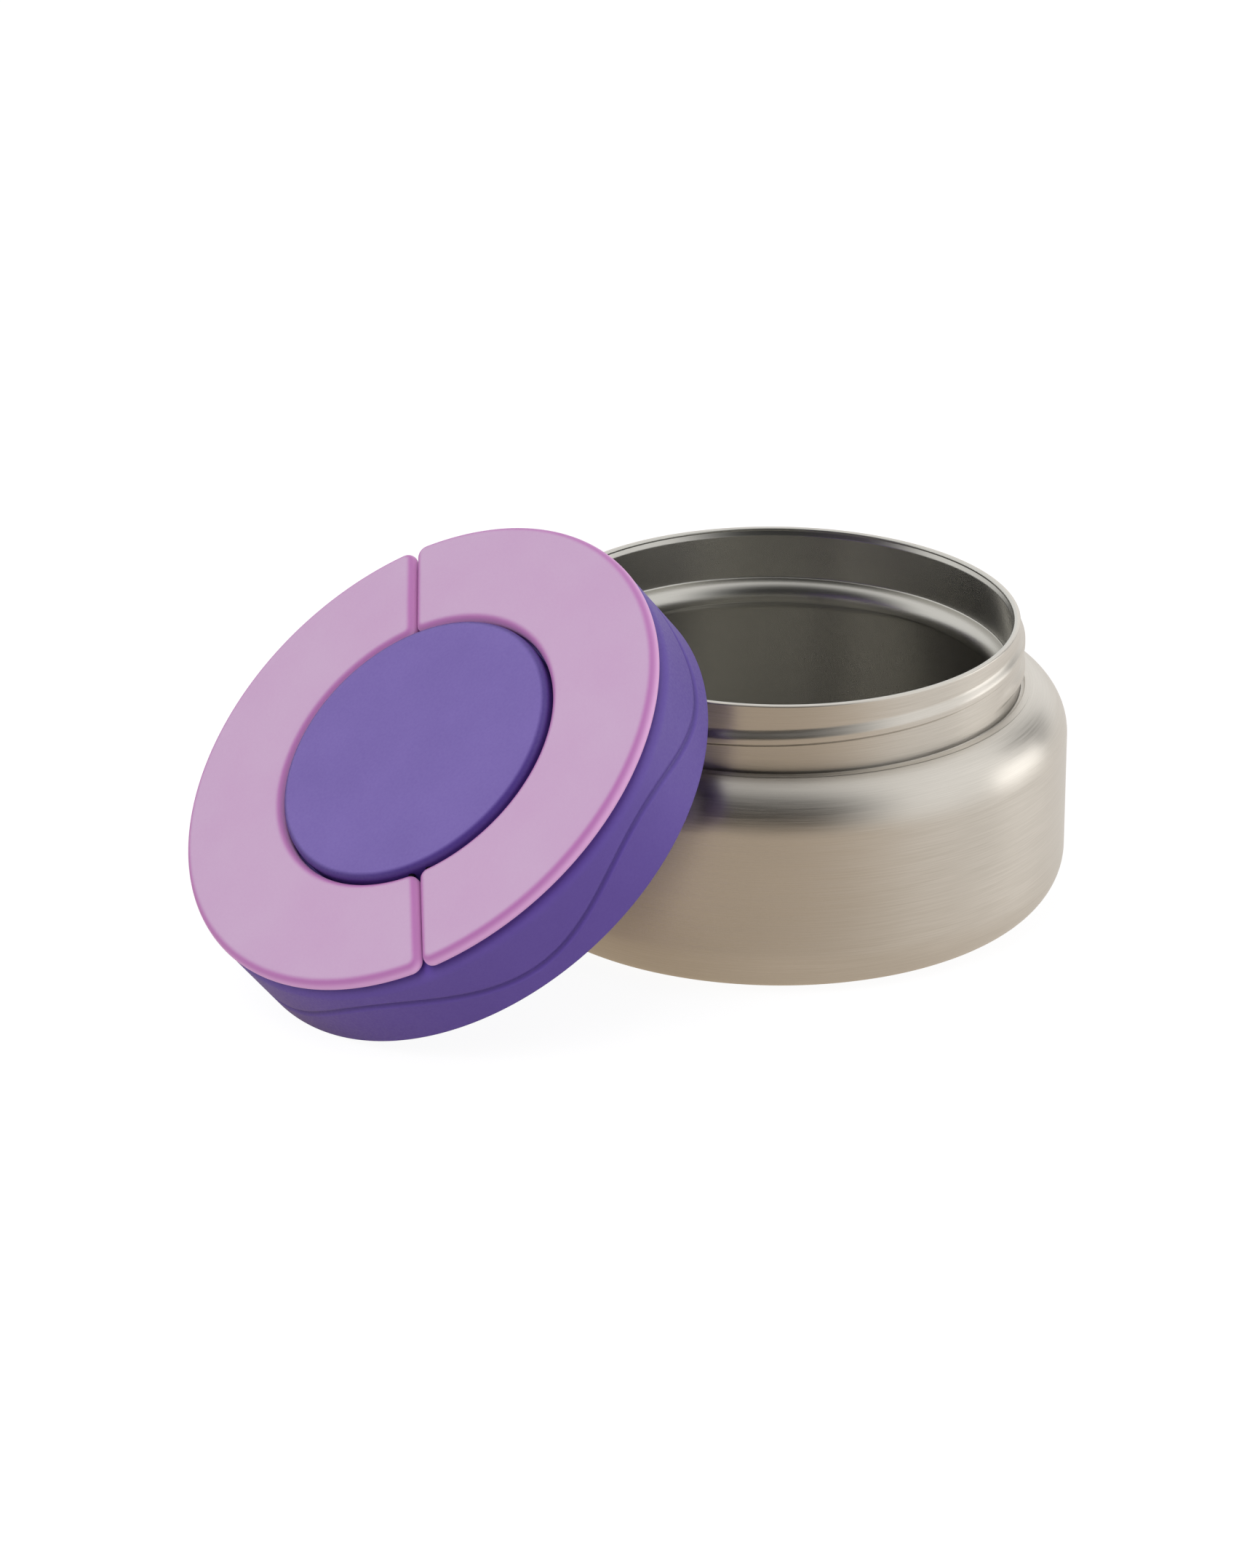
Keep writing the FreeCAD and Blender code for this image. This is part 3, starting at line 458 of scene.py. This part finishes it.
def half_ring(inset):
    """The handle's outline (x, y) from above, drawn in by an inset, from the right end round to the left."""
    outer, inner, end = HANDLE_RADIUS - inset, HANDLE_HOLE + inset, HALF_SPLIT + inset
    big = max(OUTER_CORNER - inset, LEAST_CORNER)
    small = max(INNER_CORNER - inset, LEAST_CORNER)
    big_x = math.sqrt((outer - big) ** 2 - (end + big) ** 2)
    small_x = math.sqrt((inner + small) ** 2 - (end + small) ** 2)
    outer_turn = math.atan2(end + big, big_x)
    inner_turn = math.atan2(end + small, small_x)
    right = []
    for step in range(CORNER_STEPS + 1):
        angle = inner_turn + math.pi + (math.pi / 2 - inner_turn) * step / CORNER_STEPS
        right.append((small_x + small * math.cos(angle), end + small + small * math.sin(angle)))
    for step in range(CORNER_STEPS + 1):
        angle = -math.pi / 2 + (math.pi / 2 + outer_turn) * step / CORNER_STEPS
        right.append((big_x + big * math.cos(angle), end + big + big * math.sin(angle)))
    left = [(-x, y) for x, y in reversed(right)]
    outside = [outer_turn + (math.pi - 2 * outer_turn) * step / SWEEP_STEPS
               for step in range(1, SWEEP_STEPS)]
    inside = [math.pi - inner_turn - (math.pi - 2 * inner_turn) * step / SWEEP_STEPS
              for step in range(1, SWEEP_STEPS)]
    return (right + [(outer * math.cos(a), outer * math.sin(a)) for a in outside] + left
            + [(inner * math.cos(a), inner * math.sin(a)) for a in inside])


def handle_levels():
    """Inset, height, crown share and share of painted shade and light of each loop round the handle, from under
    it to the top.
    """
    levels = [(HANDLE_FOOT_ROUND + FACE_INSET, HANDLE_FOOT, 0, 1.0)]
    for step in range(FOOT_STEPS + 1):
        turn = math.pi / 2 * step / FOOT_STEPS
        levels.append((HANDLE_FOOT_ROUND * (1 - math.sin(turn)),
                       HANDLE_FOOT + HANDLE_FOOT_ROUND * (1 - math.cos(turn)), 0, 1.0))
    # Painted light covers the underside and foot; round the top edge it gives way to painted shade, darkest at
    # one step, then fades out on the face.
    for step in range(TOP_STEPS + 1):
        turn = math.pi / 2 * step / TOP_STEPS
        rim = 0.5 * eased(step / DARKEST_PAINTED_STEP)
        line = 0.5 * eased((step - DARKEST_PAINTED_STEP) / (TOP_STEPS - DARKEST_PAINTED_STEP))
        levels.append((HANDLE_TOP_ROUND * (1 - math.cos(turn)),
                       HANDLE_EDGE - HANDLE_TOP_ROUND * (1 - math.sin(turn)), 1, 1 - rim - line))
    levels.append((HANDLE_TOP_ROUND + FACE_INSET, HANDLE_EDGE, 1, 0.0))
    return levels


def crown(x, y):
    """How far the handle's top rises towards the hub."""
    return CROWN * (HANDLE_RADIUS - math.hypot(x, y)) / (HANDLE_RADIUS - HANDLE_HOLE)


def flip_handle(name):
    """One half ring, closed above and below."""
    shaper = bmesh.new()
    painted_shade_and_glow = shaper.verts.layers.float.new("painted_shade_and_glow")
    loops = []
    for inset, height, lift, share in handle_levels():
        loop = [shaper.verts.new((x * MM, y * MM, (height + lift * crown(x, y)) * MM))
                for x, y in half_ring(inset)]
        for point in loop:
            point[painted_shade_and_glow] = share
        loops.append(loop)
    for lower, upper in zip(loops, loops[1:]):
        for step in range(len(lower)):
            shaper.faces.new((lower[step - 1], lower[step], upper[step], upper[step - 1]))
    corners = 2 * (CORNER_STEPS + 1)
    for loop in (loops[0], loops[-1]):
        outer = loop[corners - 1:corners + SWEEP_STEPS]
        inner = (loop[2 * corners + SWEEP_STEPS - 2:] + loop[:1])[::-1]
        for step in range(SWEEP_STEPS):
            shaper.faces.new((outer[step], outer[step + 1], inner[step + 1], inner[step]))
        shaper.faces.new(loop[:corners])
        shaper.faces.new(loop[corners + SWEEP_STEPS - 1:2 * corners + SWEEP_STEPS - 1])
    return finished_mesh(name, shaper)


# The lilac's deeper colour is painted shade along the turn of the top edge, and its pale pink one painted light
# on the sides and underside.
lilac = moulded_plastic("lilac_polypropylene", "#ccaacc", "#bd7ab8", "#efb6e8", roughness=0.5)
for side, half_turns in (("left", 0), ("right", 1)):
    handle = flip_handle(f"flip_handle_{side}")
    handle.data.transform(lid_place @ Matrix.Rotation(math.pi * half_turns, 4, "Z"))
    placed(handle, f"{side}_handle", "lilac_plastic", lilac, f"handle_{side}")

# Table and studio: a white light tent over a pale table, open towards the lens, where the room is dark.
# A soft box on the left lights the lid, a dim one in front fills the skirt, and a white card low on the
# right draws the bright edge on the steel, which also shows a dark seam of the tent and a painted pool of light
# on the table, warm and dim on the lid's side, bright off to the right.
FLOOR_HALF, FLOOR_GAP = 3.0, 0.1 * MM
WHITE = linear("#ffffff")
MIRROR_SHARE, MIRROR_GLOW = 0.7, 1.1
LENS_SHARE, LENS_GLOW = 0.8, 1.16
PAINTED_POOL_SIDE, PAINTED_POOL_START, PAINTED_POOL_END = (0.992, 0.133, 0.0), -0.09, 0.085
TENT_FILL, TENT_IN_STEEL = 0.75, 1.1
# Each dark part of the tent: the way to its middle, the degrees to its outer and inner edge, how dark it is.
TENT_OPENING = ((-0.686, -0.528, 0.500), 66, 24, 0.96)
TENT_SEAM = ((0.926, 0.060, 0.374), 20, 6, 0.8)
AIM = Vector((-0.02, 0.0, 0.03))
# Each lamp: its name, place, width, height and watts, and whether the steel mirrors it.
LAMPS = (
    ("soft_box_left", (-0.95, -0.35, 1.0), 0.9, 0.9, 9.6, False),
    ("soft_box_front", (0.25, -0.80, 0.85), 0.7, 0.7, 1.3, False),
    ("white_card_right", (0.85, -0.32, 0.17), 0.50, 0.32, 0.7, True),
)


def ray_kinds(tree):
    """Whether a ray comes from the lens, and whether it comes off metal or through glass."""
    path = add_node(tree, "ShaderNodeLightPath").outputs
    mirrored = computed(tree, "MAXIMUM", path["Is Glossy Ray"], path["Is Transmission Ray"])
    return path["Is Camera Ray"], mirrored


def along(tree, vector, way):
    """How far a vector goes along a way."""
    inputs = {0: vector, 1: way}
    return add_node(tree, "ShaderNodeVectorMath", inputs, operation="DOT_PRODUCT").outputs["Value"]


def soft_ramp(tree, value, low, high, start=0.0, end=1.0):
    """A ramp with soft ends."""
    return ramp(tree, value, low, high, start, end, interpolation_type="SMOOTHSTEP")


def tent_light(tree, way, middle, outer, inner, dark):
    """How bright the tent stays near one of its dark parts."""
    edges = [math.cos(math.radians(degrees)) for degrees in (outer, inner)]
    return soft_ramp(tree, along(tree, way, middle), *edges, 1.0, 1 - dark)


scene = bpy.context.scene
floor_mesh = bpy.data.meshes.new("table_top")
floor_mesh.from_pydata([(x * FLOOR_HALF, y * FLOOR_HALF, -FLOOR_GAP)
                        for x, y in ((-1, -1), (1, -1), (1, 1), (-1, 1))], [], [(0, 1, 2, 3)])
table = bpy.data.objects.new("table_top", floor_mesh)
scene.collection.objects.link(table)

white_table = bpy.data.materials.new("white_laminate_table")
white_table.use_nodes = True
tree = white_table.node_tree
tree.nodes.clear()
from_lens, mirrored = ray_kinds(tree)
spot = add_node(tree, "ShaderNodeTexCoord").outputs["Object"]
# In reflections the table shows a painted pool of light: warm and dim on the lid's side, bright off to the
# right.
painted_light_pool = soft_ramp(tree, along(tree, spot, PAINTED_POOL_SIDE), PAINTED_POOL_START, PAINTED_POOL_END)
painted_pool_tint = blend(tree, painted_light_pool, linear("#d5c0a4"), linear("#f6f1ea"))
matt = add_node(tree, "ShaderNodeBsdfDiffuse", {"Color": linear("#dcdade")}).outputs[0]
painted_pool_glow = add_node(tree, "ShaderNodeEmission", {"Color": painted_pool_tint, "Strength": MIRROR_GLOW}).outputs[0]
glow = add_node(tree, "ShaderNodeEmission", {"Color": WHITE, "Strength": LENS_GLOW}).outputs[0]
in_steel = computed(tree, "MULTIPLY", mirrored, MIRROR_SHARE)
in_lens = computed(tree, "MULTIPLY", from_lens, LENS_SHARE)
top = add_node(tree, "ShaderNodeMixShader", {0: in_steel, 1: matt, 2: painted_pool_glow}).outputs[0]
top = add_node(tree, "ShaderNodeMixShader", {0: in_lens, 1: top, 2: glow}).outputs[0]
add_node(tree, "ShaderNodeOutputMaterial", {"Surface": top})
floor_mesh.materials.append(white_table)

room = bpy.data.worlds.new("white_light_tent")
room.use_nodes = True
scene.world = room
tree = room.node_tree
from_lens, mirrored = ray_kinds(tree)
way = add_node(tree, "ShaderNodeTexCoord").outputs["Generated"]
cloth = ramp(tree, mirrored, 0.0, 1.0, TENT_FILL, TENT_IN_STEEL)
for dark_part in (TENT_SEAM, TENT_OPENING):
    cloth = computed(tree, "MULTIPLY", cloth, tent_light(tree, way, *dark_part))
level = add_node(tree, "ShaderNodeMix", {0: from_lens, 2: cloth, 3: 1.0}).outputs[0]
feed(tree, tree.nodes["Background"], {"Color": WHITE, "Strength": level})

for name, place, width, height, watts, in_reflections in LAMPS:
    lamp = bpy.data.lights.new(name, "AREA")
    lamp.shape = "RECTANGLE"
    lamp.size = width
    lamp.size_y = height
    lamp.energy = watts
    box = bpy.data.objects.new(name, lamp)
    box.location = place
    box.rotation_euler = (AIM - Vector(place)).to_track_quat("-Z", "Y").to_euler()
    box.visible_glossy = in_reflections
    scene.collection.objects.link(box)

PHOTO_HEIGHT, FOCAL_PIXELS, SENSOR = 2156, 10000, 36.0
LENS_PLACE = Vector((-793.72, -991.16, 561.82)) * MM
lens_right = Vector((0.79518, -0.60636, 0.00402))
lens_down = Vector((-0.23499, -0.31427, -0.91979))
lens_ahead = Vector((0.55898, 0.73046, -0.39239))
lens = bpy.data.cameras.new("photo_camera")
lens.sensor_width = SENSOR
lens.lens = FOCAL_PIXELS / PHOTO_HEIGHT * SENSOR
camera = bpy.data.objects.new("photo_camera", lens)
lens_turn = Matrix((lens_right, -lens_down, -lens_ahead)).transposed()
camera.matrix_world = Matrix.Translation(LENS_PLACE) @ lens_turn.to_4x4()
scene.collection.objects.link(camera)
scene.camera = camera
scene.view_settings.view_transform = "Standard"
